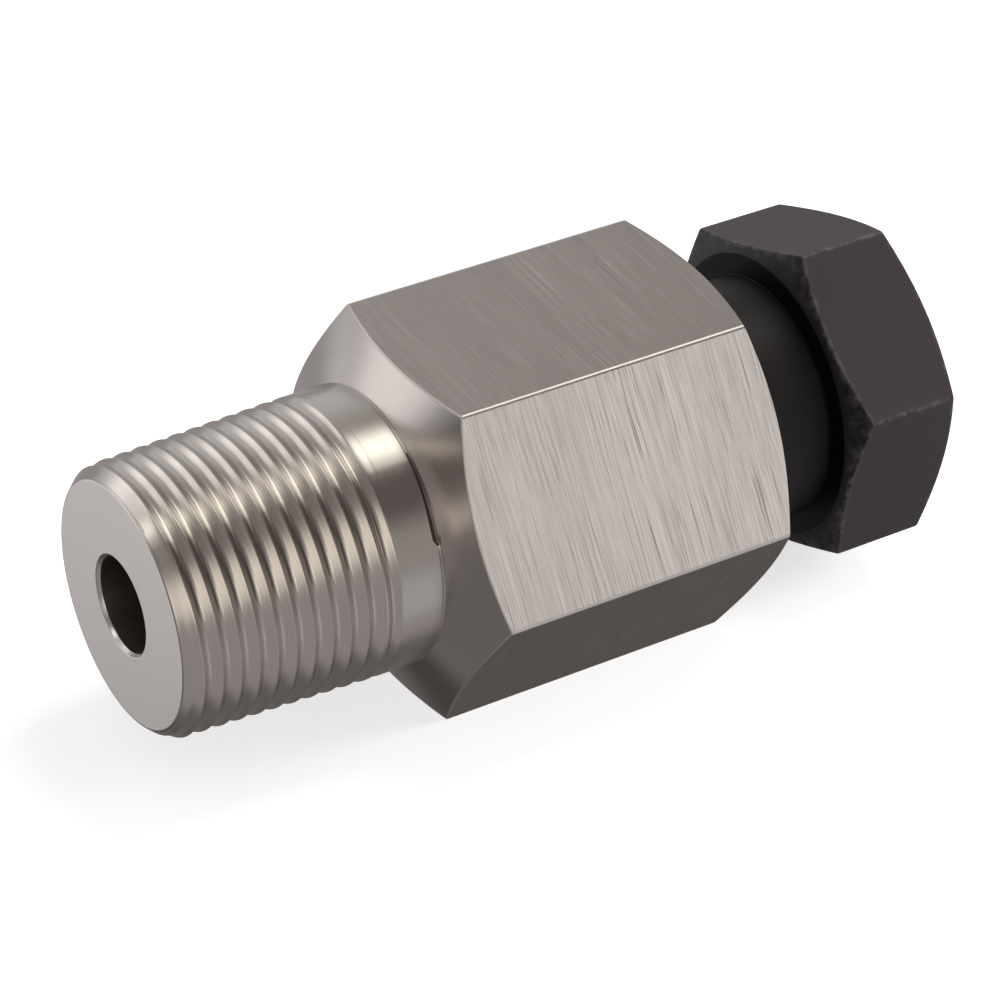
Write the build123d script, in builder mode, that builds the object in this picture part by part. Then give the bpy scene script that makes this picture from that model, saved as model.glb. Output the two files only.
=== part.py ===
from build123d import *
from math import cos, radians, tan
import os

# Male to female adapter. The body is one piece, turned from hexagon bar: a 3/4 inch
# taper pipe thread at one end, a compression port for 9/16 inch tube at the other. A
# gland nut screws into the port and pushes a thrust washer and a coned sleeve home.
# Sizes are in millimetres. The axis runs along X, from the pipe end to the nut, and
# stations are distances along it from the pipe end. The body lies on one of its flats.

# Body
body_length = 60.5
body_flats = 34.925  # 1-3/8 inch
bar_corner_radius = 0.4
hex_start = 28.71  # station where the front cone reaches the hexagon's corners
front_cone_angle = 23.8  # from the plane across the axis
rear_cone_depth = 1.52  # from the rear end to where the rear cone reaches the corners
rear_cone_angle = 26.1
neck_fillet = 1.0
turning_margin = 1.0  # that a turned cone reaches past the bar's corners

# Pipe thread on a taper of 1 in 16, modelled as the blank that its crests lie on
thread_taper = 1 / 16
pitch_diameter = 24.579  # at the pipe end
crest_height = 0.60  # above the pitch line
thread_length = 19.6  # the neck carries on from the crests there
lead_chamfer_length = 1.25
end_face_diameter = 23.55

# Passage and tube socket
flow_bore = 9.1186  # 0.359 inch
flow_bore_chamfer = 0.3
tube_diameter = 14.2875  # 9/16 inch
tube_clearance = 0.06  # on the radius, around the tube in the socket, sleeve and washer
nut_clearance = 0.3  # on the radius, around the tube in the nut
socket_depth = 6.7

# Compression sleeve and thrust washer
sleeve_wall = 2.7
sleeve_nose_wall = 0.7
sleeve_barrel = 4.0
sleeve_clearance = 0.1  # on the radius, in its bore
seat_angle = 20  # from the axis, for the sleeve's nose and the seat
seat_clearance = 0.1  # between the two cones when the nut is home
washer_thickness = 2.0
stack_gap = 0.05  # between nut and washer, and between washer and sleeve

# Gland nut
gland_diameter = 23.8125  # 15/16 inch
gland_clearance = 0.06  # on the radius, in the port
gland_pitch = 1.5875  # 16 threads to the inch
turns_to_home = 1.25
nose_relief = 0.5  # from the nut's nose, when home, to the port's floor
port_chamfer = 0.8
shank_length = 24.3
nose_chamfer = 1.0
head_gap = 8.8  # from the body to the nut's head
head_length = 12.0
nut_to_body_flats = 19 / 22  # wrench sizes: 1-3/16 inch on 1-3/8 inch
nut_corner_radius = 0.5
nut_turn = -20.9  # of its hexagon against the body's
head_front_depth = 1.28  # from the head's front face to where its cone reaches the corners
head_front_angle = 21.5
head_rear_depth = 1.32
head_rear_angle = 22.8
nut_bore_chamfer = 0.8

# Where things stand along the axis
overall_length = body_length + head_gap + head_length
head_front = body_length + head_gap
nut_nose = head_front - shank_length
home_travel = turns_to_home * gland_pitch
port_floor = nut_nose - home_travel - nose_relief
washer_front = nut_nose - stack_gap - washer_thickness
sleeve_back = washer_front - stack_gap

# Radii and widths
axis_height = body_flats / 2
nut_flats = body_flats * nut_to_body_flats
tube_radius = tube_diameter / 2
socket_radius = tube_radius + tube_clearance
nut_bore_radius = tube_radius + nut_clearance
sleeve_radius = socket_radius + sleeve_wall
sleeve_bore_radius = sleeve_radius + sleeve_clearance
gland_radius = gland_diameter / 2
port_radius = gland_radius + gland_clearance

# Planes: one along the axis, for turned profiles, and one across it at each station
pipe_end_x = -overall_length / 2
turning_axis = Axis((pipe_end_x, 0, axis_height), (1, 0, 0))
side = Plane(origin=(pipe_end_x, 0, axis_height), x_dir=(1, 0, 0), z_dir=(0, -1, 0))


def across(station):
    return Plane(
        origin=(pipe_end_x + station, 0, axis_height), x_dir=(0, 1, 0), z_dir=(1, 0, 0)
    )


def corner_radius_of(flats):
    return flats / 2 / cos(radians(30))


def cone_point(station, flats, angle, radius):
    """A point, at a radius, of the cone that reaches a hexagon's corners at a station.
    A negative angle leans the cone the other way, for a rear end."""
    return station - (corner_radius_of(flats) - radius) * tan(radians(angle)), radius


def cone_face_radius(flats, depth, angle):
    """Radius of the flat face that is left at the end of a coned hexagon."""
    return corner_radius_of(flats) - depth / tan(radians(angle))


def crest_radius(station):
    return pitch_diameter / 2 + crest_height + station * thread_taper / 2


# Body
neck_radius = crest_radius(thread_length)
front_cone_root = cone_point(hex_start, body_flats, front_cone_angle, neck_radius)
beyond_corners = corner_radius_of(body_flats) + turning_margin
front_cone_top = cone_point(hex_start, body_flats, front_cone_angle, beyond_corners)
rear_corner = body_length - rear_cone_depth
rear_cone_top = cone_point(rear_corner, body_flats, -rear_cone_angle, beyond_corners)
rear_face_radius = cone_face_radius(body_flats, rear_cone_depth, rear_cone_angle)

sleeve_cone = (sleeve_wall - sleeve_nose_wall) / tan(radians(seat_angle))
sleeve_shoulder = sleeve_back - sleeve_barrel
sleeve_nose = sleeve_shoulder - sleeve_cone
seat_offset = seat_clearance / cos(radians(seat_angle))
seat_shoulder = (
    sleeve_shoulder
    - home_travel
    + (sleeve_clearance - seat_offset) / tan(radians(seat_angle))
)
seat_depth = (sleeve_bore_radius - socket_radius) / tan(radians(seat_angle))
seat_nose = seat_shoulder - seat_depth
socket_floor = seat_nose - socket_depth

with BuildPart() as adapter_body:
    with BuildSketch(across(0)) as bar:
        RegularPolygon(body_flats / 2, 6, major_radius=False)
        fillet(bar.vertices(), bar_corner_radius)
    extrude(amount=body_length)
    with BuildSketch(side) as turned:
        with BuildLine():
            Polyline(
                (0, 0),
                (0, end_face_diameter / 2),
                (lead_chamfer_length, crest_radius(lead_chamfer_length)),
                (thread_length, neck_radius),
                front_cone_root,
                front_cone_top,
                rear_cone_top,
                (body_length, rear_face_radius),
                (body_length, 0),
                close=True,
            )
        make_face()
        neck_corner = turned.vertices().sort_by_distance(front_cone_root)[0]
        fillet(neck_corner, neck_fillet)
    revolve(axis=turning_axis, mode=Mode.INTERSECT)
    with BuildSketch(side) as bored:
        with BuildLine():
            Polyline(
                (0, 0),
                (0, flow_bore / 2 + flow_bore_chamfer),
                (flow_bore_chamfer, flow_bore / 2),
                (socket_floor, flow_bore / 2),
                (socket_floor, socket_radius),
                (seat_nose, socket_radius),
                (seat_shoulder, sleeve_bore_radius),
                (port_floor, sleeve_bore_radius),
                (port_floor, port_radius),
                (body_length - port_chamfer, port_radius),
                (body_length, port_radius + port_chamfer),
                (body_length, 0),
                close=True,
            )
        make_face()
    revolve(axis=turning_axis, mode=Mode.SUBTRACT)

# Compression sleeve: a plain barrel and a coned nose, bored for the tube
with BuildPart() as compression_sleeve:
    with BuildSketch(side):
        with BuildLine():
            Polyline(
                (sleeve_nose, socket_radius),
                (sleeve_nose, socket_radius + sleeve_nose_wall),
                (sleeve_shoulder, sleeve_radius),
                (sleeve_back, sleeve_radius),
                (sleeve_back, socket_radius),
                close=True,
            )
        make_face()
    revolve(axis=turning_axis)

# Thrust washer between the sleeve and the nut
with BuildPart() as thrust_washer:
    with BuildSketch(across(washer_front)):
        Circle(sleeve_radius)
        Circle(socket_radius, mode=Mode.SUBTRACT)
    extrude(amount=washer_thickness)

# Gland nut: hexagon head with a cone at each end, plain shank, bored through
head_rear = head_front + head_length
beyond_nut_corners = corner_radius_of(nut_flats) + turning_margin
head_front_corner = head_front + head_front_depth
head_rear_corner = head_rear - head_rear_depth

with BuildPart() as gland_nut:
    with BuildSketch(across(head_front)) as nut_bar:
        RegularPolygon(nut_flats / 2, 6, major_radius=False, rotation=nut_turn)
        fillet(nut_bar.vertices(), nut_corner_radius)
    extrude(amount=head_length)
    with BuildSketch(side):
        with BuildLine():
            Polyline(
                (head_front, 0),
                (head_front, cone_face_radius(nut_flats, head_front_depth, head_front_angle)),
                cone_point(head_front_corner, nut_flats, head_front_angle, beyond_nut_corners),
                cone_point(head_rear_corner, nut_flats, -head_rear_angle, beyond_nut_corners),
                (head_rear, cone_face_radius(nut_flats, head_rear_depth, head_rear_angle)),
                (head_rear, 0),
                close=True,
            )
        make_face()
    revolve(axis=turning_axis, mode=Mode.INTERSECT)
    with BuildSketch(side):
        with BuildLine():
            Polyline(
                (nut_nose, 0),
                (nut_nose, gland_radius - nose_chamfer),
                (nut_nose + nose_chamfer, gland_radius),
                (head_front, gland_radius),
                (head_front, 0),
                close=True,
            )
        make_face()
    revolve(axis=turning_axis)
    with BuildSketch(side):
        with BuildLine():
            Polyline(
                (nut_nose, 0),
                (nut_nose, nut_bore_radius),
                (head_rear - nut_bore_chamfer, nut_bore_radius),
                (head_rear, nut_bore_radius + nut_bore_chamfer),
                (head_rear, 0),
                close=True,
            )
        make_face()
    revolve(axis=turning_axis, mode=Mode.SUBTRACT)

os.makedirs("parts", exist_ok=True)
adapter_body.part.label = "adapter_body"
export_step(adapter_body.part, "parts/adapter_body.step")
compression_sleeve.part.label = "compression_sleeve"
export_step(compression_sleeve.part, "parts/compression_sleeve.step")
thrust_washer.part.label = "thrust_washer"
export_step(thrust_washer.part, "parts/thrust_washer.step")
gland_nut.part.label = "gland_nut"
export_step(gland_nut.part, "parts/gland_nut.step")

print("stations: socket floor, seat nose, seat shoulder, port floor, nut nose, overall")
print(socket_floor, seat_nose, seat_shoulder, port_floor, nut_nose, overall_length)
print("radii: socket, nut bore, sleeve, sleeve bore, port")
print(socket_radius, nut_bore_radius, sleeve_radius, sleeve_bore_radius, port_radius)
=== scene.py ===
import bmesh
import bpy
import numpy as np
from mathutils import Matrix, Vector


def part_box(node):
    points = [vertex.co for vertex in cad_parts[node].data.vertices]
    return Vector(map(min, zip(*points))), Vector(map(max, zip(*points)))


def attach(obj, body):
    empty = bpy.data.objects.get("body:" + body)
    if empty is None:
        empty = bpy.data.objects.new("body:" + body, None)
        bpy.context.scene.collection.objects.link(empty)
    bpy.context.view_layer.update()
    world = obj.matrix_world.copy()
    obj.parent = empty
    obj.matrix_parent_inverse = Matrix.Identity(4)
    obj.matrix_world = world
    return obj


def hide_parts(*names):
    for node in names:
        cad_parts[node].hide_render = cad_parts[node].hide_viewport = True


# Male to female adapter: a one-piece stainless body with a taper pipe thread and a tube
# port, and the black gland nut, thrust washer and sleeve that close on the tube.
# Sizes below are in millimetres. A station is a distance along the axis from the pipe end,
# and an angle is counted from straight up, right-handed about the axis.

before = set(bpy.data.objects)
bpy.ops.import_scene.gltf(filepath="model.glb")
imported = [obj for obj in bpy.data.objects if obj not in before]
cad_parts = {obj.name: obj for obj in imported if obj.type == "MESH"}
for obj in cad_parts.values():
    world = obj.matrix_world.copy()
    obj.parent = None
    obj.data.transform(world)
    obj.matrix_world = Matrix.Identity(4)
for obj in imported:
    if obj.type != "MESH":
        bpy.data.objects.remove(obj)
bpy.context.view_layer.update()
print("scene: frame loaded, nodes", sorted(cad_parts))

bodyLow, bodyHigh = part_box("adapter_body")
pipeEndX = bodyLow.x
axisHeight = (bodyLow.z + bodyHigh.z) / 2
mm = 0.001

sideAngle = 60  # that each side of a hexagon takes, seen from the axis
halfSide = sideAngle / 2
cosHalfSide = np.cos(np.radians(halfSide))

cornerShares = (0.0, 0.22, 0.5, 0.78, 1.0)  # of a rounded corner's curve, where its rows lie
besideCorner = 1.5  # sizes from a corner to the row on each side that ends its shading
cornerRows = len(cornerShares) + 2
toMiddle = cornerRows // 2 + 1  # rows of a corner up to its middle one, and that one too


def smoothStep(low, high, value):
    # 0 below low, 1 above high, and 3 s squared minus 2 s cubed between them
    s = np.clip((value - low) / (high - low), 0, 1)
    return s * s * (3 - 2 * s)


def asPoint(pair):
    # A (station, radius) pair as two rows of numbers: one column, or one for each angle
    pair = np.array(np.broadcast_arrays(*pair), float)
    return pair.reshape(2, -1)


def softCorner(before, corner, after, size):
    # A corner of a profile, rounded by a parabola that starts and ends at size from it:
    # corner + size * inward * (1 - s) squared + size * outward * s squared
    before, corner, after = asPoint(before), asPoint(corner), asPoint(after)
    inward = (before - corner) / np.linalg.norm(before - corner, axis=0)
    outward = (after - corner) / np.linalg.norm(after - corner, axis=0)
    rows = [corner + inward * size * besideCorner]
    for s in cornerShares:
        rows.append(corner + inward * size * (1 - s) ** 2 + outward * size * s**2)
    rows.append(corner + outward * size * besideCorner)
    return rows


def arcRows(before, corner, after, radius, count):
    # A profile's corner rounded by a true arc of that radius, with a row beyond each end
    before, corner, after = [np.array(p, float) for p in (before, corner, after)]
    inward = (before - corner) / np.linalg.norm(before - corner)
    outward = (after - corner) / np.linalg.norm(after - corner)
    half = np.arccos(np.clip(inward @ outward, -1, 1)) / 2
    beyond = radius / np.tan(half) * 1.2
    middle = (inward + outward) / np.linalg.norm(inward + outward)
    centre = corner + middle * radius / np.sin(half)
    sweep = np.linspace(-1, 1, count) * (np.pi / 2 - half)
    side = (outward - inward) / np.linalg.norm(outward - inward)
    rows = [tuple(centre + radius * (-middle * np.cos(s) + side * np.sin(s))) for s in sweep]
    return [tuple(corner + inward * beyond)] + rows + [tuple(corner + outward * beyond)]


def profile(points, rounding, closed=False):
    # Rows of a turned or coned profile, with each corner rounded by its own size. The two
    # ends of an open profile aren't corners, and give only a direction.
    count = len(points)
    corners = range(count) if closed else range(1, count - 1)
    rows = []
    for i, size in zip(corners, rounding):
        rows += softCorner(points[i - 1], points[i], points[(i + 1) % count], size)
    return rows


def cornerRadiusOf(flats):
    # Distance from the axis to a hexagon's sharp corner
    return flats / 2 / cosHalfSide


def cornerSpanOf(flats, rounded):
    # Half the angle that a hexagon's rounded corner takes, seen from the axis
    centre = cornerRadiusOf(flats - 2 * rounded)
    return np.degrees(np.arctan2(rounded / 2, centre + rounded * cosHalfSide))


def sectorAngles(turn, cornerSpan, count=25):
    # Angles round a hexagon: six in each rounded corner, one just outside it on each side,
    # and evenly spaced ones along each flat.
    inCorner = np.array([-1, -0.6, -0.2, 0.2, 0.6, 1]) * cornerSpan
    outside = cornerSpan + 0.25
    flat = np.linspace(outside, sideAngle - outside, count)
    sector = np.concatenate([inCorner, flat])
    around = np.concatenate([sector + sideAngle * k for k in range(6)]) + halfSide + turn
    return np.append(around, around[0] + 360)


def hexRadius(angles, flats, rounded, turn):
    # Distance from the axis to a hexagon with rounded corners, at each angle: half the
    # flats over the cosine of the angle from the flat's middle, and a small circle at a corner.
    fromCorner = np.radians((angles - turn) % sideAngle - halfSide)
    centre = cornerRadiusOf(flats - 2 * rounded)
    onFlat = flats / 2 / np.cos(np.radians(halfSide) - np.abs(fromCorner))
    under = np.maximum(rounded**2 - (centre * np.sin(fromCorner)) ** 2, 0)
    onCorner = centre * np.cos(fromCorner) + np.sqrt(under)
    slack = 1e-6  # so that the two ends of a corner count as in it
    inCorner = np.abs(np.degrees(fromCorner)) <= cornerSpanOf(flats, rounded) + slack
    return np.where(inCorner, onCorner, onFlat)


def slopeOf(angle):
    # How far a cone runs along the axis for each millimetre outward
    return np.tan(np.radians(angle))


def grooveWidth(depth, groove):
    # Half the width of a thread's groove of that depth, with its rounded root: the square root
    # of (depth over the flank's slope plus the rounding) squared minus the rounding squared
    rootRound = groove["rootRound"]
    return np.sqrt((depth / groove["flankSlope"] + rootRound) ** 2 - rootRound**2)


def grooveDepth(depth, offset, groove):
    # How far a groove cuts below the crests, at an offset along the axis from its middle:
    # depth minus the flank's slope times the offset, with the root and the edges rounded.
    rootRound = groove["rootRound"]
    left = depth - groove["flankSlope"] * (np.sqrt(offset**2 + rootRound**2) - rootRound)
    return (left + np.sqrt(left**2 + groove["edgeRound"] ** 2)) / 2


def helixRows(angles, groove, phase, start, end, depthAt, steps):
    # Rows that follow a right-hand helix: row u at angle a stands at pitch (u + a / 360).
    # In each turn the rows lie at set shares of the groove's flanks, from 0 to 1, and of the
    # crest, from 1 to 2. Returns the stations, held between start and end, and how deep the
    # groove is cut there.
    pitch = groove["pitch"]
    leastHalf = 0.3  # width that keeps the rows apart where a groove has run out
    first = int(np.floor(start / pitch - phase - angles[-1] / 360)) - 1
    last = int(np.ceil(end / pitch - phase - angles[0] / 360)) + 1
    share = np.concatenate([-np.array(steps)[::-1], np.array(steps)[1:-1]])
    turn = angles[None, :] / 360
    stations, offsets, depths = [], [], []
    for k in range(first, last + 1):
        middle = pitch * (k + phase + turn)
        depth = depthAt(middle)
        half = np.maximum(grooveWidth(depth, groove), leastHalf)
        onFlank = np.minimum(np.abs(share), 1)[:, None] * half
        onCrest = np.maximum(np.abs(share) - 1, 0)[:, None] * (pitch / 2 - half)
        offset = np.sign(share)[:, None] * (onFlank + onCrest)
        stations.append(middle + offset)
        offsets.append(offset)
        depths.append(np.broadcast_to(depth, offset.shape))
    stations = np.concatenate(stations)
    keep = (stations.max(1) > start) | (np.roll(stations, -1, 0).max(1) > start)
    keep &= (stations.min(1) < end) | (np.roll(stations, 1, 0).min(1) < end)
    cut = grooveDepth(np.concatenate(depths)[keep], np.concatenate(offsets)[keep], groove)
    return np.clip(stations[keep], start, end), cut


def cutInto(wall, crest, cut, held, start, end):
    # A wall less the groove below the crests: the groove fades in just after the start, and
    # out just before the end.
    fadeIn = 0.35
    outFrom, outBy = 0.8, 0.1
    cut = cut * (1 - smoothStep(end - outFrom, end - outBy, held))
    threaded = np.minimum(wall, crest - cut)
    return wall + (threaded - wall) * smoothStep(start, start + fadeIn, held)


def plain(rows, columns):
    # Rows of single (station, radius) pairs, spread over all the angles
    stations = np.stack([np.broadcast_to(row[0], (columns,)) for row in rows])
    radii = np.stack([np.broadcast_to(row[1], (columns,)) for row in rows])
    return stations, radii


def turnedMesh(name, bands, angles, materials):
    # A closed skin round the axis. Each band is (material, stations, radii), with one row for
    # each line of the profile and one column for each angle, and the last row joins the first.
    # The material is one number, or one for each angle.
    # A point is (station, minus radius sine angle, radius cosine angle) from the pipe end's middle.
    sameSpot = 2e-6  # metres between points that are one
    sliver = 1e-7  # metres along an edge that is left out
    stations = np.concatenate([band[1] for band in bands])
    radii = np.concatenate([band[2] for band in bands])
    kinds = np.concatenate([
        np.broadcast_to(band[0], (len(band[1]), len(angles) - 1)) for band in bands
    ])
    a = np.radians(angles)[None, :]
    x = pipeEndX + stations * mm
    y = -radii * mm * np.sin(a)
    z = axisHeight + radii * mm * np.cos(a)
    rows, cols = stations.shape
    points = np.stack([x, y, z], -1).reshape(-1, 3)
    row, col = np.meshgrid(np.arange(rows), np.arange(cols - 1), indexing="ij")
    near = row * cols + col
    far = ((row + 1) % rows) * cols + col
    quads = np.stack([near, near + 1, far + 1, far], -1).reshape(-1, 4)
    mesh = bpy.data.meshes.new(name)
    mesh.from_pydata(points.tolist(), [], quads.tolist())
    mesh.polygons.foreach_set("material_index", kinds.reshape(-1).astype(np.int32))
    shell = bmesh.new()
    shell.from_mesh(mesh)
    bmesh.ops.remove_doubles(shell, verts=shell.verts, dist=sameSpot)
    bmesh.ops.dissolve_degenerate(shell, edges=shell.edges, dist=sliver)
    bmesh.ops.recalc_face_normals(shell, faces=shell.faces)
    for face in shell.faces:
        face.smooth = True
    openEdges = sum(1 for edge in shell.edges if len(edge.link_faces) != 2)
    volume = shell.calc_volume(signed=True) / mm**3
    shell.to_mesh(mesh)
    shell.free()
    piece = bpy.data.objects.new(name, mesh)
    bpy.context.scene.collection.objects.link(piece)
    for material in materials:
        mesh.materials.append(material)
    print(f"scene: {name}: {len(mesh.polygons)} faces, {openEdges} open edges, {volume:.0f} mm3")
    return piece


noiseSpan = (0.3, 0.7)  # that nearly all of a noise lies between


def newMaterial(name):
    material = bpy.data.materials.new(name)
    material.use_nodes = True
    nodes = material.node_tree.nodes
    return material, nodes, material.node_tree.links, nodes["Principled BSDF"]


def addNode(nodes, kind, **values):
    node = nodes.new(kind)
    for key, value in values.items():
        setattr(node, key, value)
    return node


def mathNode(nodes, links, operation, *values):
    node = addNode(nodes, "ShaderNodeMath", operation=operation)
    for socket, value in zip(node.inputs, values):
        if isinstance(value, (int, float)):
            socket.default_value = value
        else:
            links.new(value, socket)
    return node.outputs[0]


def rampNode(nodes, links, source, low, high):
    # Black up to low, white from high, and straight between them
    node = nodes.new("ShaderNodeValToRGB")
    node.color_ramp.elements[0].position = low
    node.color_ramp.elements[1].position = high
    links.new(source, node.inputs[0])
    return node.outputs[0]


def rangeNode(nodes, links, source, fromLow, fromHigh, toLow, toHigh):
    node = addNode(nodes, "ShaderNodeMapRange", clamp=True)
    node.inputs["From Min"].default_value = fromLow
    node.inputs["From Max"].default_value = fromHigh
    node.inputs["To Min"].default_value = toLow
    node.inputs["To Max"].default_value = toHigh
    links.new(source, node.inputs["Value"])
    return node.outputs[0]


def noiseNode(nodes, links, vector, scale, detail, roughness):
    node = nodes.new("ShaderNodeTexNoise")
    node.inputs["Scale"].default_value = scale
    node.inputs["Detail"].default_value = detail
    node.inputs["Roughness"].default_value = roughness
    links.new(vector, node.inputs["Vector"])
    return node.outputs["Fac"]


def mixColours(nodes, links, factor, first, second):
    node = addNode(nodes, "ShaderNodeMix", data_type="RGBA")
    for place, value in ((0, factor), (6, first), (7, second)):
        socket = node.inputs[place]
        if isinstance(value, (int, float)):
            socket.default_value = value
        elif isinstance(value, tuple):
            socket.default_value = (*value, 1)
        else:
            links.new(value, socket)
    return node.outputs[2]


def addBump(nodes, links, shader, height, strength, distance):
    bump = nodes.new("ShaderNodeBump")
    bump.inputs["Strength"].default_value = strength
    bump.inputs["Distance"].default_value = distance
    links.new(height, bump.inputs["Height"])
    links.new(bump.outputs[0], shader.inputs["Normal"])


def centredCoordinates(nodes, links):
    # Object coordinates, counted from the axis
    coordinates = nodes.new("ShaderNodeTexCoord")
    mapping = nodes.new("ShaderNodeMapping")
    mapping.inputs["Location"].default_value = (0, 0, -axisHeight)
    links.new(coordinates.outputs["Object"], mapping.inputs["Vector"])
    return mapping.outputs["Vector"]


def turnedCoordinate(nodes, links, along, around):
    # Runs with the station plus the radius, so that its lines are circles on a cylinder,
    # a cone and a face alike, and slowly with the place round the axis.
    centred = centredCoordinates(nodes, links)
    split = nodes.new("ShaderNodeSeparateXYZ")
    links.new(centred, split.inputs[0])
    outward = nodes.new("ShaderNodeCombineXYZ")
    links.new(split.outputs[1], outward.inputs[1])
    links.new(split.outputs[2], outward.inputs[2])
    radius = addNode(nodes, "ShaderNodeVectorMath", operation="LENGTH")
    links.new(outward.outputs[0], radius.inputs[0])
    total = mathNode(nodes, links, "ADD", split.outputs[0], radius.outputs["Value"])
    lines = nodes.new("ShaderNodeCombineXYZ")
    links.new(mathNode(nodes, links, "MULTIPLY", total, along), lines.inputs[0])
    links.new(mathNode(nodes, links, "MULTIPLY", split.outputs[1], around), lines.inputs[1])
    links.new(mathNode(nodes, links, "MULTIPLY", split.outputs[2], around), lines.inputs[2])
    return lines.outputs[0]


steel = {
    # turned: colour, roughness from its least to its most, and how deep the tool's circles read
    "face": {"colour": (0.64, 0.60, 0.59), "roughness": (0.17, 0.23), "lines": 0.08},
    "thread": {"colour": (0.66, 0.615, 0.59), "roughness": (0.16, 0.24), "lines": 0.06},
    "neck": {"colour": (0.64, 0.60, 0.585), "roughness": (0.15, 0.23), "lines": 0.08},
    "cone": {"colour": (0.64, 0.60, 0.585), "roughness": (0.36, 0.43), "lines": 0.08},
    # painted shade: the flow bore's steel is darkened, as shade inside it
    "bore": {"colour": (0.36, 0.32, 0.295), "roughness": (0.36, 0.44), "lines": 0.3},
    # painted highlight: a near-white colour on the hexagon's rounded corners, for the bright line
    # that light draws along them
    "paintedHighlightEdge": {"colour": (0.97, 0.94, 0.92), "roughness": (0.34, 0.4), "lines": 0.05},
    # painted shade: near black for the dark crescent at the foot of the front cone
    "foot": {"colour": (0.10, 0.09, 0.085), "roughness": (0.36, 0.44), "lines": 0.1},
    # brushed: the front flat is a lit copy of the others, painted lighter and made less metallic so
    # that it takes more lamp light, which is painted light; the others keep the drawn bar's finish
    "paintedLightFlat": {
        "light": (1.0, 0.94, 0.925),
        "dark": (0.72, 0.668, 0.654),
        "roughness": (0.50, 0.58),
        "depth": 1.0,
        "scratches": 0.7,
        "metallic": 0.62,
    },
    "drawn": {
        "light": (0.53, 0.485, 0.465),
        "dark": (0.48, 0.435, 0.415),
        "roughness": (0.36, 0.44),
        "depth": 0.2,
        "scratches": 0.25,
        "metallic": 1.0,
    },
}
turning = {
    "circles": (9000, 120),  # noise to the metre, across the tool's circles and along them
    "circleTone": (0.5, 0.25),  # what the noise is multiplied by, and what is added
    "circleNoise": (1, 2, 0.6),  # scale, detail and roughness of the noise
    "smudgeNoise": (90, 3, 0.55),
    "darkest": 0.86,  # share of the colour
    "lineDepth": 0.00002,
}
brushing = {
    "spread": 0.93,  # how much further the flats spread light along the axis
    "turn": 0.25,  # of that spread, in turns
    "slant": 0.075,
    # streaks: noise to the metre across and along them, and the noise's detail
    "hair": (8600, 120, 3),
    "darkCut": (10500, 130, 1),
    "lightCut": (9800, 130, 1),
    "crowd": (160, 30, 2),
    "band": (300, 40, 2),
    # where in its noise each streak starts and is whole
    "hairSpan": (0.32, 0.66),
    "darkSpan": (0.61, 0.69),
    "lightSpan": (0.58, 0.66),
    "crowdSpan": (0.38, 0.62),
    "streakRoughness": 0.65,
    "leastCrowd": 0.5,
    "bandTone": (0.94, 1.05),
    "darkCutTone": 0.46,  # share of the dark tone
    "lightCutTone": (1.0, 0.98, 0.97),
    "cutShare": 0.5,  # how deep the dark cuts are beside the hairlines
    "lineDepth": 0.00008,
}


def turnedSteel(name, finish):
    # Lathe-turned stainless: fine circles that vary the gloss, and faint larger smudges
    material, nodes, links, shader = newMaterial(name)
    shader.inputs["Metallic"].default_value = 1
    circles = turnedCoordinate(nodes, links, *turning["circles"])
    fine = noiseNode(nodes, links, circles, *turning["circleNoise"])
    smudge = noiseNode(nodes, links, centredCoordinates(nodes, links), *turning["smudgeNoise"])
    darker = tuple(turning["darkest"] * c for c in finish["colour"])
    tone = mathNode(nodes, links, "MULTIPLY_ADD", fine, *turning["circleTone"])
    tone = mixColours(nodes, links, tone, darker, finish["colour"])
    links.new(tone, shader.inputs["Base Color"])
    halfFine = mathNode(nodes, links, "MULTIPLY", fine, 0.5)
    halfSmudge = mathNode(nodes, links, "MULTIPLY", smudge, 0.5)
    gloss = mathNode(nodes, links, "ADD", halfFine, halfSmudge)
    gloss = rangeNode(nodes, links, gloss, *noiseSpan, *finish["roughness"])
    links.new(gloss, shader.inputs["Roughness"])
    addBump(nodes, links, shader, fine, finish["lines"], turning["lineDepth"])
    return material


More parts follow.
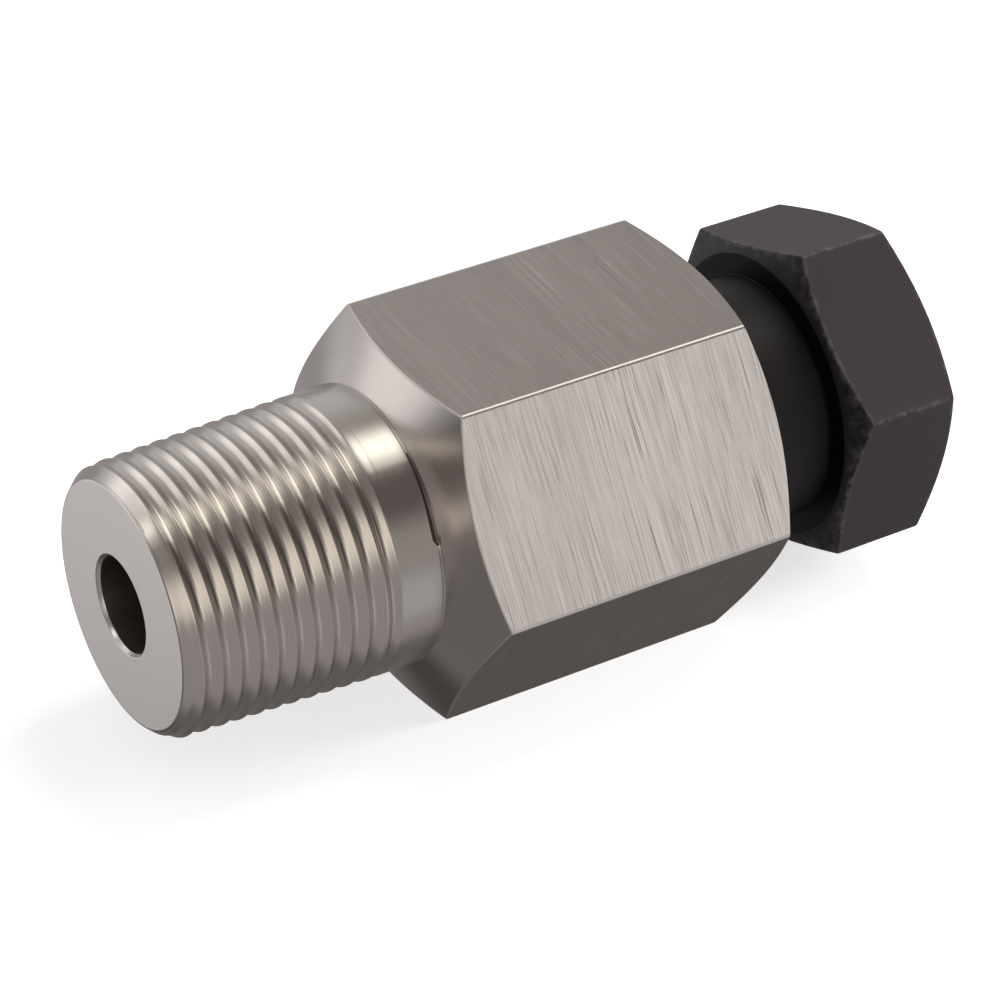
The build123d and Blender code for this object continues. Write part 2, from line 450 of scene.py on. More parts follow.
def brushedSteel(name, finish):
    # Flats brushed across the axis: hairlines, deeper single scratches and broad bands
    material, nodes, links, shader = newMaterial(name)
    shader.inputs["Metallic"].default_value = finish["metallic"]
    shader.inputs["Anisotropic"].default_value = brushing["spread"]
    shader.inputs["Anisotropic Rotation"].default_value = brushing["turn"]
    around = addNode(nodes, "ShaderNodeTangent", direction_type="RADIAL", axis="X")
    links.new(around.outputs[0], shader.inputs["Tangent"])
    slanted = nodes.new("ShaderNodeCombineXYZ")
    split = nodes.new("ShaderNodeSeparateXYZ")
    links.new(centredCoordinates(nodes, links), split.inputs[0])
    lean = mathNode(nodes, links, "MULTIPLY", split.outputs[2], brushing["slant"])
    links.new(mathNode(nodes, links, "ADD", split.outputs[0], lean), slanted.inputs[0])
    links.new(split.outputs[1], slanted.inputs[1])
    links.new(split.outputs[2], slanted.inputs[2])

    def streaks(kind):
        across, along, detail = brushing[kind]
        stretch = nodes.new("ShaderNodeMapping")
        stretch.inputs["Scale"].default_value = (across, along, along)
        links.new(slanted.outputs[0], stretch.inputs["Vector"])
        roughness = brushing["streakRoughness"]
        return noiseNode(nodes, links, stretch.outputs[0], 1, detail, roughness)

    hair = streaks("hair")
    darkCut = rampNode(nodes, links, streaks("darkCut"), *brushing["darkSpan"])
    lightCut = rampNode(nodes, links, streaks("lightCut"), *brushing["lightSpan"])
    crowded = (*brushing["crowdSpan"], brushing["leastCrowd"], 1.0)
    crowd = rangeNode(nodes, links, streaks("crowd"), *crowded)
    band = streaks("band")
    lit = rampNode(nodes, links, hair, *brushing["hairSpan"])
    tone = mixColours(nodes, links, lit, finish["dark"], finish["light"])
    amount = mathNode(nodes, links, "MULTIPLY", crowd, finish["scratches"])
    darkest = tuple(brushing["darkCutTone"] * c for c in finish["dark"])
    for cut, colour in ((darkCut, darkest), (lightCut, brushing["lightCutTone"])):
        strength = mathNode(nodes, links, "MULTIPLY", cut, amount)
        tone = mixColours(nodes, links, strength, tone, colour)
    shade = addNode(nodes, "ShaderNodeVectorMath", operation="SCALE")
    wide = rangeNode(nodes, links, band, *noiseSpan, *brushing["bandTone"])
    links.new(tone, shade.inputs[0])
    links.new(wide, shade.inputs["Scale"])
    links.new(shade.outputs[0], shader.inputs["Base Color"])
    gloss = rangeNode(nodes, links, band, *noiseSpan, *finish["roughness"])
    links.new(gloss, shader.inputs["Roughness"])
    cutDepth = mathNode(nodes, links, "MULTIPLY", darkCut, brushing["cutShare"])
    height = mathNode(nodes, links, "SUBTRACT", hair, cutDepth)
    addBump(nodes, links, shader, height, finish["depth"], brushing["lineDepth"])
    return material


blackCoat = {
    "head": {"black": (0.038, 0.030, 0.035), "brown": (0.041, 0.033, 0.037), "gloss": 0.4},
    # darker coat on the nose, thread and shank; the same coat is painted shade on the head's front
    # cone
    "shank": {"black": (0.008, 0.0065, 0.007), "brown": (0.011, 0.009, 0.0095), "gloss": 0.4},
    # painted shade: near black for the head's front face and its fillet to the shank, where the body
    # shades them
    "root": {"black": (0.002, 0.0018, 0.0018), "brown": (0.002, 0.0018, 0.0018), "gloss": 0.12},
    "worn": (0.115, 0.104, 0.108),
    "roughness": (0.46, 0.54),
    "cloudNoise": (45, 2, 0.45),  # scale, detail and roughness of the noise
    "grainNoise": (2600, 2, 0.5),
    "rubNoise": (900, 4, 0.7),
    "rubSpan": (0.42, 0.62),
    "grain": (0.08, 0.00003),  # strength and height of its bump
}


def coatedSteel(name, coat):
    # Black oxide on turned and milled steel: matte, a little brown, rubbed paler at the edges
    material, nodes, links, shader = newMaterial(name)
    centred = centredCoordinates(nodes, links)
    cloud = noiseNode(nodes, links, centred, *blackCoat["cloudNoise"])
    grain = noiseNode(nodes, links, centred, *blackCoat["grainNoise"])
    rub = noiseNode(nodes, links, centred, *blackCoat["rubNoise"])
    browned = rangeNode(nodes, links, cloud, *noiseSpan, 0, 1)
    tone = mixColours(nodes, links, browned, coat["black"], coat["brown"])
    edge = nodes.new("ShaderNodeAttribute")
    edge.attribute_type = "GEOMETRY"
    edge.attribute_name = "edgeWear"
    patchy = rangeNode(nodes, links, rub, *blackCoat["rubSpan"], 0, 1)
    worn = mathNode(nodes, links, "MULTIPLY", edge.outputs["Fac"], patchy)
    tone = mixColours(nodes, links, worn, tone, blackCoat["worn"])
    links.new(tone, shader.inputs["Base Color"])
    gloss = rangeNode(nodes, links, cloud, *noiseSpan, *blackCoat["roughness"])
    links.new(gloss, shader.inputs["Roughness"])
    shader.inputs["Specular IOR Level"].default_value = coat["gloss"]
    addBump(nodes, links, shader, grain, *blackCoat["grain"])
    return material


turned = turnedSteel("turnedStainless", steel["face"])
threadCut = turnedSteel("threadStainless", steel["thread"])
neckTurned = turnedSteel("neckStainless", steel["neck"])
coneTurned = turnedSteel("coneStainless", steel["cone"])
paintedShadeSteel = turnedSteel("paintedShadeStainless", steel["foot"])
paintedShadeBore = turnedSteel("paintedShadeBoreStainless", steel["bore"])
paintedHighlightEdge = turnedSteel("paintedHighlightEdgeStainless", steel["paintedHighlightEdge"])
paintedLightFlat = brushedSteel("paintedLightFlatStainless", steel["paintedLightFlat"])
drawn = brushedSteel("drawnStainless", steel["drawn"])
blackHead = coatedSteel("blackCoatedHead", blackCoat["head"])
blackShankAndShade = coatedSteel("blackCoatedShankAndShade", blackCoat["shank"])
blackPaintedShade = coatedSteel("blackCoatPaintedShade", blackCoat["root"])
print("scene: finishes made")


adapterBody = {
    "length": 60.5,
    "flats": 34.925,
    "cornerRound": 0.4,
    "edgeRound": 0.14,
    "litFlatAngle": 60,  # angle of the middle of the flat that is painted lighter, as lit
    "hexStart": 28.71,
    "frontCone": 23.8,
    "rearConeDepth": 1.52,
    "rearCone": 26.1,
    "undercut": (0.14, 0.13),  # depth and width of the groove at the foot of the front cone
    "undercutLead": 0.12,  # length of the slope that leads into it
    "crescent": (0.14, 0.33),  # how much deeper and wider it gets at the front
    "crescentAngles": (26, 62, 66),  # where that starts, is whole, and ends
    "paintedShadeFoot": (46, 19),  # middle and half-angle of the groove's stretch that is painted with shade
    "endFaceRadius": 11.775,
    "flowRadius": 4.5593,
    "flowChamfer": 0.3,
    "flowMiddle": 6.0,  # a station in the flow bore, which both its ends run towards
    "socketRadius": 7.20375,
    "socketFloor": 22.505,
    "seatNose": 29.205,
    "seatShoulder": 36.898,
    "sleeveBore": 10.00375,
    "portFloor": 42.516,
    "portRadius": 11.96625,
    "portChamfer": 0.8,
    # roundings of the corners, in their order along the profile
    "endRounds": (0.07, 0.07, 0.14),  # flow bore, its chamfer and the end face's broken edge
    "footRounds": (0.05, 0.04, 0.04),  # the groove at the foot of the front cone
    "mouthRound": 0.08,
    "insideRounds": (0.15, 0.12, 0.1, 0.08, 0.15, 0.1),  # from the port's floor to the flow bore
}
pipeThread = {
    "pitch": 25.4 / 14,
    "crestPhase": 0.59,
    "crestAtEnd": 12.8895,
    "taper": 1 / 32,
    "depth": 0.50,
    "flankSlope": 1.4,
    "rootRound": 0.85,
    "edgeRound": 0.05,
    "leadChamfer": 1.25,
    "leadSlope": 0.93,  # of the chamfer's first row
    "leadBlend": 0.004,  # how softly the chamfer meets the crests, square millimetres
    "leadBy": 3,  # station past which the chamfer no longer matters
    "taperEnd": 19.6,
    "fullUntil": 19.7,
    "goneBy": 21.7,
    "rows": (0.16, 22.3),  # stations between which the surface follows the helix
    "steps": (0, 0.12, 0.26, 0.42, 0.6, 0.78, 0.91, 0.97, 1.0, 1.4, 2),
}
glandThread = {
    "pitch": 1.5875,
    "phase": 0.1,
    "crest": 11.906,
    "depth": 1.043,
    "flankSlope": 1.732,
    "rootRound": 0.10,
    "edgeRound": 0.03,
    "nutEnd": 62.2,
    "nutRunOut": (2.2, 0.6),  # before the end, where its groove starts to run out and is gone
    "nutSteps": (0, 0.15, 0.5, 0.93, 1.0, 1.4, 2),
    # in the port
    "gap": 0.1,
    "toothTip": 11.106,
    "portStart": 43.6,
    "portFull": (44.3, 45.3),  # where the teeth start to rise, and are whole
    "portGone": (56.9, 57.7),
    "portMouth": 0.2,  # from the last row to the body's end
    "portSteps": (0, 0.35, 0.42, 0.9, 1.0, 1.5, 2),
}


def crestLine(station):
    # Radius of the pipe thread's crests: they widen by the taper up to the neck, then run level
    tapered = np.minimum(station, pipeThread["taperEnd"])
    return pipeThread["crestAtEnd"] + pipeThread["taper"] * tapered


def pipeDepth(station):
    # Depth of the pipe thread's groove: full, then running out before the neck
    runOut = smoothStep(pipeThread["fullUntil"], pipeThread["goneBy"], station)
    return pipeThread["depth"] * (1 - runOut)


def pipeThreadRows(angles):
    # The crest line less the groove, held under the chamfer that leads in at the end face
    start, end = pipeThread["rows"]
    phase = pipeThread["crestPhase"] + 0.5  # grooves lie half a turn from crests
    held, cut = helixRows(angles, pipeThread, phase, start, end, pipeDepth, pipeThread["steps"])
    crest = crestLine(held)
    rise = crestLine(pipeThread["leadChamfer"]) - adapterBody["endFaceRadius"]
    chamfer = adapterBody["endFaceRadius"] + rise / pipeThread["leadChamfer"] * held
    over = (chamfer - crest) / 2
    wall = (crest + chamfer) / 2 - np.sqrt(over**2 + pipeThread["leadBlend"])
    wall = np.where(held > pipeThread["leadBy"], crest, wall)
    return held, cutInto(wall, crest, cut, held, start, end)


def portThreadRows(angles, start, end):
    # The port's teeth stand in the nut's grooves, a gap clear of them, between the relief before
    # the floor and a plain stretch at the mouth, where the nut's grooves run out
    def depthAt(station):
        return np.full_like(station, glandThread["depth"])

    phase, steps = glandThread["phase"], glandThread["portSteps"]
    held, cut = helixRows(angles, glandThread, phase, start, end, depthAt, steps)
    tooth = np.maximum(glandThread["crest"] - cut + glandThread["gap"], glandThread["toothTip"])
    wall = np.minimum(tooth, adapterBody["portRadius"])
    rising = smoothStep(*glandThread["portFull"], held)
    relief = 1 - rising + smoothStep(*glandThread["portGone"], held)
    wall = wall + (adapterBody["portRadius"] - wall) * relief
    chamferStart = adapterBody["length"] - adapterBody["portChamfer"]
    mouth = adapterBody["portRadius"] + held - chamferStart
    return held, np.maximum(wall, mouth)


def makeBody():
    # A closed profile carried round the axis. Its radius follows the hexagon between the two
    # cones, and its stations follow the helix in the two threads.
    size = adapterBody
    span = cornerSpanOf(size["flats"], size["cornerRound"])
    angles = sectorAngles(0, span)
    columns = len(angles)
    around = hexRadius(angles, size["flats"], size["cornerRound"], 0)
    cornerRadius = cornerRadiusOf(size["flats"])
    frontSlope = slopeOf(size["frontCone"])
    rearSlope = slopeOf(size["rearCone"])
    neck = float(crestLine(pipeThread["taperEnd"]))
    neckRoot = size["hexStart"] - (cornerRadius - neck) * frontSlope
    frontEdge = size["hexStart"] - (cornerRadius - around) * frontSlope
    rearStart = size["length"] - size["rearConeDepth"]
    rearEdge = rearStart + (cornerRadius - around) * rearSlope
    rearFace = cornerRadius - size["rearConeDepth"] / rearSlope

    # pipe end, thread, and the groove at the foot of the front cone
    threadStart, threadEnd = pipeThread["rows"]
    startRow = (threadStart, size["endFaceRadius"] + threadStart * pipeThread["leadSlope"])
    endFace = profile(
        [(size["flowMiddle"], size["flowRadius"]), (size["flowChamfer"], size["flowRadius"]),
         (0, size["flowRadius"] + size["flowChamfer"]), (0, size["endFaceRadius"]), startRow],
        size["endRounds"],
    )
    starts, whole, ends = size["crescentAngles"]
    wider = smoothStep(starts, whole, angles % 360) * (1 - smoothStep(whole, ends, angles % 360))
    low = size["undercut"][0] + size["crescent"][0] * wider
    wide = size["undercut"][1] + size["crescent"][1] * wider
    bottom = neckRoot - low * frontSlope
    foot = profile(
        [(threadEnd, neck), (bottom - wide - size["undercutLead"], neck),
         (bottom - wide, neck - low), (bottom, neck - low), (size["hexStart"], cornerRadius)],
        size["footRounds"],
    )

    # hexagon, from the front cone over its sides to the rear cone
    frontPoint, rearPoint = (frontEdge, around), (rearEdge, around)
    cone = softCorner((neckRoot, neck), frontPoint, rearPoint, size["edgeRound"])
    back = softCorner(frontPoint, rearPoint, (size["length"], rearFace), size["edgeRound"])
    rear = profile(
        [(rearStart, cornerRadius), (size["length"], rearFace),
         (size["length"], size["portRadius"] + size["portChamfer"]),
         (size["length"] - size["portChamfer"], size["portRadius"])],
        [size["edgeRound"], size["mouthRound"]],
    )

    # port, seat, socket and flow bore
    portStart = glandThread["portStart"]
    port = portThreadRows(angles, portStart, size["length"] - glandThread["portMouth"])
    inside = profile(
        [(portStart, size["portRadius"]), (size["portFloor"], size["portRadius"]),
         (size["portFloor"], size["sleeveBore"]), (size["seatShoulder"], size["sleeveBore"]),
         (size["seatNose"], size["socketRadius"]), (size["socketFloor"], size["socketRadius"]),
         (size["socketFloor"], size["flowRadius"]), (size["flowMiddle"], size["flowRadius"])],
        size["insideRounds"],
    )

    finishes = [turned, threadCut, paintedLightFlat, drawn, neckTurned, paintedShadeBore, paintedHighlightEdge, coneTurned, paintedShadeSteel]
    kinds = range(len(finishes))
    isTurned, isThread, isPaintedLightFlat, isDrawn, isNeck, isShadedBore, isHighlightEdge, isCone, isPaintedShade = kinds
    middle = (angles[:-1] + angles[1:]) / 2
    # the front flat takes the lit copy of the flats' finish, which is painted light
    onFront = np.abs(middle % 360 - size["litFlatAngle"]) < halfSide
    # the rounded corners take the painted highlight
    onCorner = np.abs(middle % sideAngle - halfSide) < span
    sides = np.where(onCorner, isHighlightEdge, np.where(onFront, isPaintedLightFlat, isDrawn))
    # painted shade: over this stretch of angles the groove's bottom takes the near-black colour of
    # the crescent
    darkMiddle, darkHalf = size["paintedShadeFoot"]
    groove = np.where(np.abs(middle % 360 - darkMiddle) < darkHalf, isPaintedShade, isNeck)
    grooveStart = cornerRows + toMiddle - 1  # the groove's bottom, after its upper edge
    bands = [
        # the flow bore takes the painted shade
        (isShadedBore, *plain(endFace[:2], columns)),
        (isTurned, *plain(endFace[2:], columns)),
        (isThread, *pipeThreadRows(angles)),
        (isNeck, *plain(foot[:grooveStart], columns)),
        (groove, *plain(foot[grooveStart:-toMiddle], columns)),
        (isNeck, *plain(foot[-toMiddle:], columns)),
        (isCone, *plain(cone[:toMiddle], columns)),
        (sides, *plain(cone[toMiddle:] + back[:toMiddle - 1], columns)),
        (isTurned, *plain(back[toMiddle - 1:] + rear, columns)),
        (isThread, port[0][::-1], port[1][::-1]),
        (isTurned, *plain(inside[:-1], columns)),
        (isShadedBore, *plain(inside[-1:], columns)),
    ]
    return turnedMesh("adapterBodySkin", bands, angles, finishes)


bodySkin = makeBody()
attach(bodySkin, "body")
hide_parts("adapter_body")


glandNut = {
    "nose": 45.0,
    "noseChamfer": 1.0,
    "noseRow": 0.12,  # from the nose to the first row of the thread
    "headFront": 69.3,
    "rear": 81.3,
    "flats": 30.1625,
    "cornerRound": 0.5,
    "turn": -20.9,
    "frontDepth": 1.28,
    "frontCone": 21.5,
    "rearDepth": 1.32,
    "rearCone": 22.8,
    "bore": 7.44375,
    "boreChamfer": 0.8,
    "boreMiddle": 53.0,  # a station in the bore, which both its ends run towards
    "headFillet": 0.2,
    "filletRows": 7,
    "faceRound": 0.12,
    "edgeRound": 0.16,
    "boreRound": 0.1,
    "noseRounds": (0.1, 0.07),
    "wearEnds": 0.5,  # from the head's edges, where the coat is whole again
    "wearReach": 0.35,  # from an edge, where its wear ends
    "wearFrom": 69.0,  # station where the head's wear starts
    "wearInside": 0.3,  # how far inside the flats it still counts
}


def headEdges(around):
    # Stations where the head's two cones meet its sides, for their distances from the axis
    size = glandNut
    inward = cornerRadiusOf(size["flats"]) - around
    front = size["headFront"] + size["frontDepth"] - inward * slopeOf(size["frontCone"])
    rear = size["rear"] - size["rearDepth"] + inward * slopeOf(size["rearCone"])
    return front, rear


def nutThreadRows(angles, start, end):
    # Crests on the shank's own radius, grooves cut below them, running out up the shank
    def depthAt(station):
        runOut, gone = glandThread["nutRunOut"]
        return glandThread["depth"] * (1 - smoothStep(end - runOut, end - gone, station))

    crest, phase, steps = glandThread["crest"], glandThread["phase"], glandThread["nutSteps"]
    held, cut = helixRows(angles, glandThread, phase, start, end, depthAt, steps)
    wall = crest - np.maximum(glandNut["nose"] + glandNut["noseChamfer"] - held, 0)
    return held, cutInto(wall, crest, cut, held, start, end)


def besideEdge(edge, around, towards, cone):
    # A row on a cone, where the coat is whole again past the cone's edge
    beside = glandNut["wearEnds"]
    run, rise = np.sin(np.radians(cone)), np.cos(np.radians(cone))
    return edge + towards * beside * run, around - beside * rise


def makeNut():
    # A closed profile carried round the axis, with a helix on the shank and a hexagon at the head
    size = glandNut
    span = cornerSpanOf(size["flats"], size["cornerRound"])
    angles = sectorAngles(size["turn"], span)
    columns = len(angles)
    around = hexRadius(angles, size["flats"], size["cornerRound"], size["turn"])
    cornerRadius = cornerRadiusOf(size["flats"])
    frontFace = cornerRadius - size["frontDepth"] / slopeOf(size["frontCone"])
    rearFace = cornerRadius - size["rearDepth"] / slopeOf(size["rearCone"])
    frontEdge, rearEdge = headEdges(around)

    # nose, thread and shank
    crest = glandThread["crest"]
    shankStart = glandThread["nutEnd"]
    noseRadius = crest - size["noseChamfer"]
    threadStart = size["nose"] + size["noseRow"]
    nose = profile(
        [(size["boreMiddle"], size["bore"]), (size["nose"], size["bore"]),
         (size["nose"], noseRadius), (threadStart, noseRadius + size["noseRow"])],
        size["noseRounds"],
    )
    thread = nutThreadRows(angles, threadStart, shankStart)

    # head: a small fillet to its front face, then the face, the sides and the rear
    headFront = size["headFront"]
    headRoot = (headFront, crest)
    faceEdge = (headFront, frontFace)
    root = arcRows((shankStart, crest), headRoot, faceEdge, size["headFillet"], size["filletRows"])
    coneEnd = (headFront + size["frontDepth"], cornerRadius)
    face = softCorner(headRoot, faceEdge, coneEnd, size["faceRound"])
    frontPoint, rearPoint = (frontEdge, around), (rearEdge, around)
    front = softCorner(faceEdge, frontPoint, rearPoint, size["edgeRound"])
    back = softCorner(frontPoint, rearPoint, (size["rear"], rearFace), size["edgeRound"])
    rear = profile(
        [(size["rear"] - size["rearDepth"], cornerRadius), (size["rear"], rearFace),
         (size["rear"], size["bore"] + size["boreChamfer"]),
         (size["rear"] - size["boreChamfer"], size["bore"]), (size["boreMiddle"], size["bore"])],
        [size["edgeRound"], size["boreRound"], size["boreRound"]],
    )

    # rows beside the edges keep the attribute of their wear from spreading over the faces
    beside = size["wearEnds"]
    onFront = besideEdge(frontEdge, around, -1, size["frontCone"])
    onRear = besideEdge(rearEdge, around, 1, size["rearCone"])
    onSides = [(frontEdge + beside, around), (rearEdge - beside, around)]
    isHead, isShankAndShade, isRootShade = range(3)
    upTo = toMiddle - 1
    # the head's front face and fillet take near-black painted shade, and its front cone the shank's
    # darker coat as painted shade
    bands = [
        (isShankAndShade, *plain(nose, columns)),
        (isShankAndShade, *thread),
        (isRootShade, *plain(root + face[:upTo], columns)),
        (isShankAndShade, *plain(face[upTo:] + [onFront] + front[:upTo], columns)),
        (isHead, *plain(front[upTo:] + onSides + back + [onRear] + rear, columns)),
    ]
    return turnedMesh("glandNutSkin", bands, angles, [blackHead, blackShankAndShade, blackPaintedShade])


def markEdges(piece):
    # Edge wear from 0 to 1: how near each point is to the head's corners and coned edges
    size = glandNut
    reach = size["wearReach"]
    count = len(piece.data.vertices)
    co = np.zeros(count * 3)
    piece.data.vertices.foreach_get("co", co)
    co = co.reshape(-1, 3)
    station = (co[:, 0] - pipeEndX) / mm
    y, z = co[:, 1] / mm, (co[:, 2] - axisHeight) / mm
    radius = np.hypot(y, z)
    angle = np.degrees(np.arctan2(-y, z))
    fromCorner = np.abs((angle - size["turn"]) % sideAngle - halfSide)
    acrossFlat = np.radians(fromCorner) * radius
    corner = np.clip(1 - acrossFlat / reach, 0, 1)
    around = hexRadius(angle, size["flats"], size["cornerRound"], size["turn"])
    nearest = [1 - np.abs(station - edge) / reach for edge in headEdges(around)]
    onEdge = np.clip(np.maximum(*nearest), 0, 1)
    outside = (radius > size["flats"] / 2 - size["wearInside"]) & (station > size["wearFrom"])
    attribute = piece.data.attributes.new("edgeWear", "FLOAT", "POINT")
    attribute.data.foreach_set("value", (np.maximum(corner, onEdge) * outside).astype(np.float32))


nutSkin = makeNut()
markEdges(nutSkin)
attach(nutSkin, "nut")
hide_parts("gland_nut")


tubeRings = {
    "bore": 7.20375,
    "outside": 9.90375,
    "noseRadius": 7.90375,
    "nose": 33.405,
    "shoulder": 38.9,
    "back": 42.9,
    "washerFront": 42.95,
    "washerBack": 44.95,
    "sleeveRounds": (0.05, 0.12, 0.1, 0.15, 0.08),
    "washerRounds": (0.08, 0.12, 0.12, 0.08),
    "sides": 128,
}


def makeRing(name, points, rounding, material):
    # A closed profile carried once round the axis in even steps
    angles = np.linspace(0, 360, tubeRings["sides"] + 1)
    rows = profile(points, rounding, closed=True)
    return turnedMesh(name, [(0, *plain(rows, len(angles)))], angles, [material])


sleeve = makeRing(
    "compressionSleeveSkin",
    [(tubeRings["nose"], tubeRings["bore"]), (tubeRings["nose"], tubeRings["noseRadius"]),
     (tubeRings["shoulder"], tubeRings["outside"]), (tubeRings["back"], tubeRings["outside"]),
     (tubeRings["back"], tubeRings["bore"])],
    tubeRings["sleeveRounds"], turned,
)
washer = makeRing(
    "thrustWasherSkin",
    [(tubeRings["washerFront"], tubeRings["bore"]), (tubeRings["washerFront"], tubeRings["outside"]),
     (tubeRings["washerBack"], tubeRings["outside"]), (tubeRings["washerBack"], tubeRings["bore"])],
    tubeRings["washerRounds"], turned,
)
for ring, node in ((sleeve, "compression_sleeve"), (washer, "thrust_washer")):
    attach(ring, "sleeve_and_washer")
    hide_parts(node)


studio = {
    "floorSize": 4.0,
    "floorColour": (0.70, 0.70, 0.70),
    "floorRoughness": 0.9,
    "floorGloss": 0.1,
    "floorLift": 0.66,  # added to the floor for the camera, so that it reads as white
    "fill": (0.40, 0.40, 0.40),
    "walls": (0.39, 0.37, 0.35),
    "tableTone": (0.37, 0.35, 0.345),
    "horizon": (-0.02, 0.03),  # heights between which the table gives way to the walls
    # what the metal mirrors: first what stands above the table and what lies on it, then
    # things laid over both. Each has the azimuth and elevation of its middle in degrees, the
    # half-angles where it is whole and where it ends, and its colour.
    "above": {
        "backWall": (92, 17, 24, 46, (0.63, 0.63, 0.62)),
        "backWallMiddle": (122, 23, 1, 23, (1.5, 1.45, 1.42)),
        "ceiling": (116, 88, 4, 16, (1.5, 1.45, 1.25)),
        "cameraSide": (-34, 51, 18, 40, (0.13, 0.115, 0.11)),
        "cameraLow": (-38, 17, 11, 21, (0.085, 0.066, 0.055)),
        "farRight": (-12, 2, 18, 34, (0.07, 0.06, 0.055)),
        "darkOverWindow": (-144, 52, 22, 44, (0.22, 0.205, 0.195)),
        "whiteLeftHigh": (139, 38, 1, 19, (1.25, 1.21, 1.18)),
        "stripTop": (168, 71, 1, 13, (1.4, 1.34, 1.12)),
        "stripMiddle": (166, 53, 1, 15, (0.95, 0.91, 0.78)),
        "stripLow": (162, 30, 2, 11, (2.1, 2.05, 1.85)),
        "backGap": (136, 8, 3, 14, (0.4, 0.39, 0.38)),
        "leftWall": (-149, 14, 4, 22, (1.08, 1.0, 0.89)),
        "windowNear": (-99, 21, 5, 18, (1.35, 1.27, 1.12)),
        "windowFar": (-128, 25, 3, 27, (1.18, 1.1, 0.95)),
        "overheadBox": (13, 59, 2, 22, (2.5, 2.45, 2.2)),
        "stripRight": (11, 34, 2, 12, (2.2, 2.12, 1.8)),
    },
    "table": {
        "underside": (62, -77, 26, 46, (0.165, 0.153, 0.15)),
        "leftTable": (169, -36, 18, 29, (0.19, 0.18, 0.178)),
        "nearTable": (-60, -24, 8, 27, (0.51, 0.51, 0.505)),
        "underCone": (120, -60, 4, 20, (0.075, 0.069, 0.067)),
        "backFloor": (124, -26, 8, 21, (0.97, 0.96, 0.96)),
        "backFloorRight": (37, -19, 10, 29, (0.49, 0.50, 0.49)),
    },
    "over": {
        "whiteLeft": (140, -3, 8, 24, (1.17, 1.14, 1.11)),
        "leftDark": (163, -10, 4, 20, (0.045, 0.041, 0.04)),
    },
    "lampColour": (1.0, 0.98, 0.95),
    # distance and size in metres, power in watts
    "key": {"azimuth": 12, "elevation": 65, "distance": 0.9, "size": 0.45, "power": 4.5},
    "side": {"azimuth": -30, "elevation": 26, "distance": 0.26, "size": 0.1, "power": 0.28},
}


def directionOf(azimuth, elevation):
    az, el = np.radians((azimuth, elevation))
    return Vector((np.cos(el) * np.cos(az), np.cos(el) * np.sin(az), np.sin(el)))


def layPatches(nodes, links, direction, tone, patches):
    # Lays soft round patches over a tone: each is a smooth step of the angle from its middle
    for azimuth, elevation, inner, outer, colour in patches.values():
        towards = addNode(nodes, "ShaderNodeVectorMath", operation="DOT_PRODUCT")
        towards.inputs[1].default_value = directionOf(azimuth, elevation)
        links.new(direction, towards.inputs[0])
        angle = mathNode(nodes, links, "ARCCOSINE", towards.outputs["Value"])
        step = addNode(nodes, "ShaderNodeMapRange", interpolation_type="SMOOTHSTEP")
        step.inputs["From Min"].default_value = np.radians(outer)
        step.inputs["From Max"].default_value = np.radians(inner)
        links.new(angle, step.inputs["Value"])
        tone = mixColours(nodes, links, step.outputs[0], tone, colour)
    return tone


def makeWorld():
    # White to the camera. The metal mirrors a studio with a table, and all else is lit evenly.
    world = bpy.data.worlds.new("softStudio")
    bpy.context.scene.world = world
    world.use_nodes = True
    nodes, links = world.node_tree.nodes, world.node_tree.links
    nodes.clear()
    direction = nodes.new("ShaderNodeTexCoord").outputs["Generated"]
    above = layPatches(nodes, links, direction, studio["walls"], studio["above"])
    table = layPatches(nodes, links, direction, studio["tableTone"], studio["table"])
    split = nodes.new("ShaderNodeSeparateXYZ")
    links.new(direction, split.inputs[0])
    belowHorizon = rangeNode(nodes, links, split.outputs[2], *studio["horizon"], 1, 0)
    mirrored = mixColours(nodes, links, belowHorizon, above, table)
    mirrored = layPatches(nodes, links, direction, mirrored, studio["over"])
    rays = nodes.new("ShaderNodeLightPath").outputs
    mirror = mathNode(nodes, links, "MAXIMUM", rays["Is Glossy Ray"], rays["Is Transmission Ray"])
    seen = mixColours(nodes, links, mirror, studio["fill"], mirrored)
    seen = mixColours(nodes, links, rays["Is Camera Ray"], seen, (1.0, 1.0, 1.0))
    background = nodes.new("ShaderNodeBackground")
    background.inputs["Strength"].default_value = 1
    links.new(seen, background.inputs["Color"])
    output = nodes.new("ShaderNodeOutputWorld")
    links.new(background.outputs[0], output.inputs["Surface"])


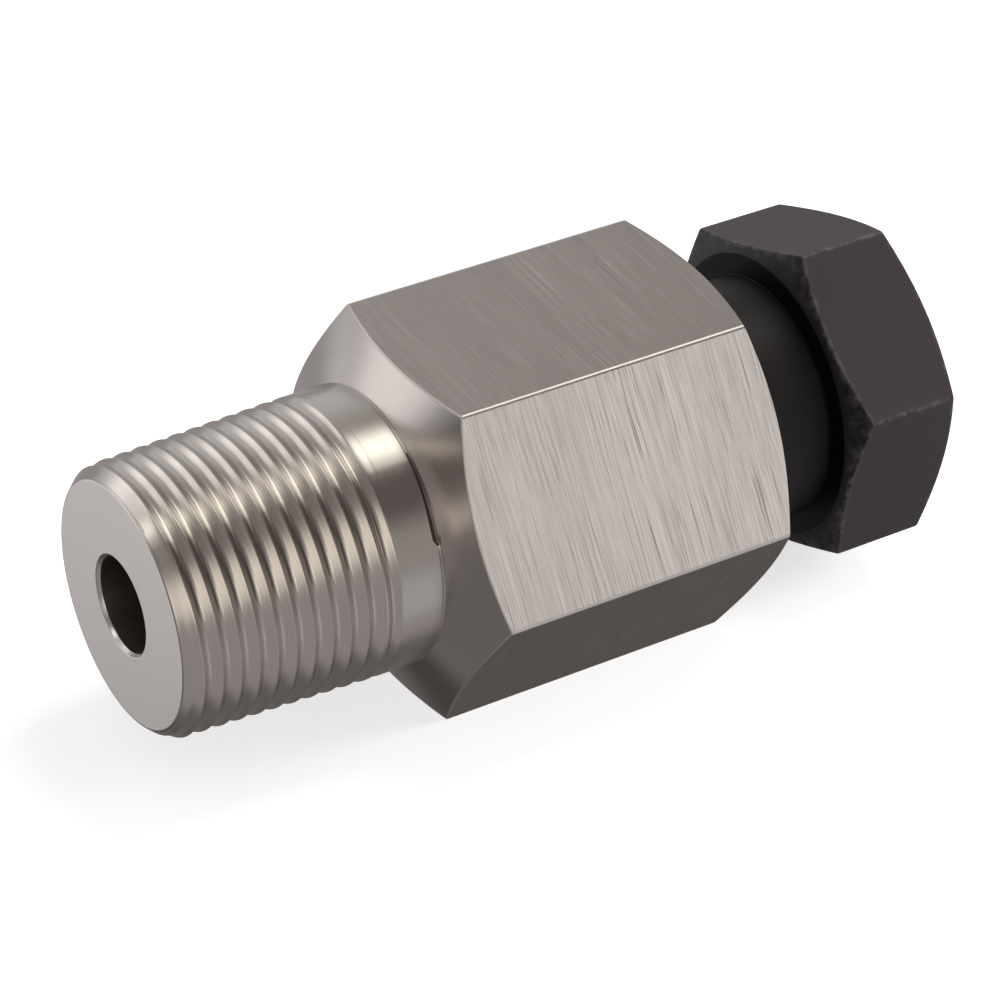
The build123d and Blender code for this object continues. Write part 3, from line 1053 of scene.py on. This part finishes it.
def makeFloor():
    # A flat sheet at the level that the body lies on: pale, and lifted to white for the camera
    half = studio["floorSize"] / 2
    corners = [(-half, -half, 0), (half, -half, 0), (half, half, 0), (-half, half, 0)]
    mesh = bpy.data.meshes.new("paleFloor")
    mesh.from_pydata(corners, [], [(0, 1, 2, 3)])
    floor = bpy.data.objects.new("paleFloor", mesh)
    bpy.context.scene.collection.objects.link(floor)
    material, nodes, links, shader = newMaterial("palePaper")
    shader.inputs["Base Color"].default_value = (*studio["floorColour"], 1)
    shader.inputs["Roughness"].default_value = studio["floorRoughness"]
    shader.inputs["Specular IOR Level"].default_value = studio["floorGloss"]
    shader.inputs["Emission Color"].default_value = (1, 1, 1, 1)
    path = nodes.new("ShaderNodeLightPath")
    lift = mathNode(nodes, links, "MULTIPLY", path.outputs["Is Camera Ray"], studio["floorLift"])
    links.new(lift, shader.inputs["Emission Strength"])
    mesh.materials.append(material)
    floor.visible_glossy = False


def makeLamp(name, setup):
    # A square softbox that the metal doesn't mirror: the world's own patches are there for that
    lamp = bpy.data.lights.new(name, "AREA")
    lamp.shape = "SQUARE"
    lamp.size = setup["size"]
    lamp.energy = setup["power"]
    lamp.color = studio["lampColour"]
    light = bpy.data.objects.new(name, lamp)
    middle = Vector((0, 0, axisHeight))
    light.location = middle + directionOf(setup["azimuth"], setup["elevation"]) * setup["distance"]
    light.rotation_euler = (light.location - middle).to_track_quat("Z", "Y").to_euler()
    light.visible_glossy = False
    bpy.context.scene.collection.objects.link(light)


photoView = {
    "sensor": 36,
    "lens": 140.68,
    "clip": (0.01, 20),
    # worked out from the hexagons' corners and the thread's crests
    "place": (-0.16364, -0.24442, 0.23627),
    "right": (0.8499, -0.5250, 0.0459),
    "back": (-0.4431, -0.6646, 0.6016),
}


def makeCamera():
    # The photograph's viewpoint. Its axes are squared up from the view's back and right.
    data = bpy.data.cameras.new("photoView")
    data.sensor_width = photoView["sensor"]
    data.sensor_fit = "HORIZONTAL"
    data.lens = photoView["lens"]
    data.clip_start, data.clip_end = photoView["clip"]
    camera = bpy.data.objects.new("photoView", data)
    right = Vector(photoView["right"]).normalized()
    back = Vector(photoView["back"]).normalized()
    up = back.cross(right).normalized()
    right = up.cross(back)
    turn = Matrix((right, up, back)).transposed().to_4x4()
    camera.matrix_world = Matrix.Translation(photoView["place"]) @ turn
    bpy.context.scene.collection.objects.link(camera)
    bpy.context.scene.camera = camera


makeWorld()
makeFloor()
makeLamp("overheadSoftbox", studio["key"])
makeLamp("sideSoftbox", studio["side"])
makeCamera()
bpy.context.scene.view_settings.view_transform = "Standard"
print("scene: floor, light and camera made")
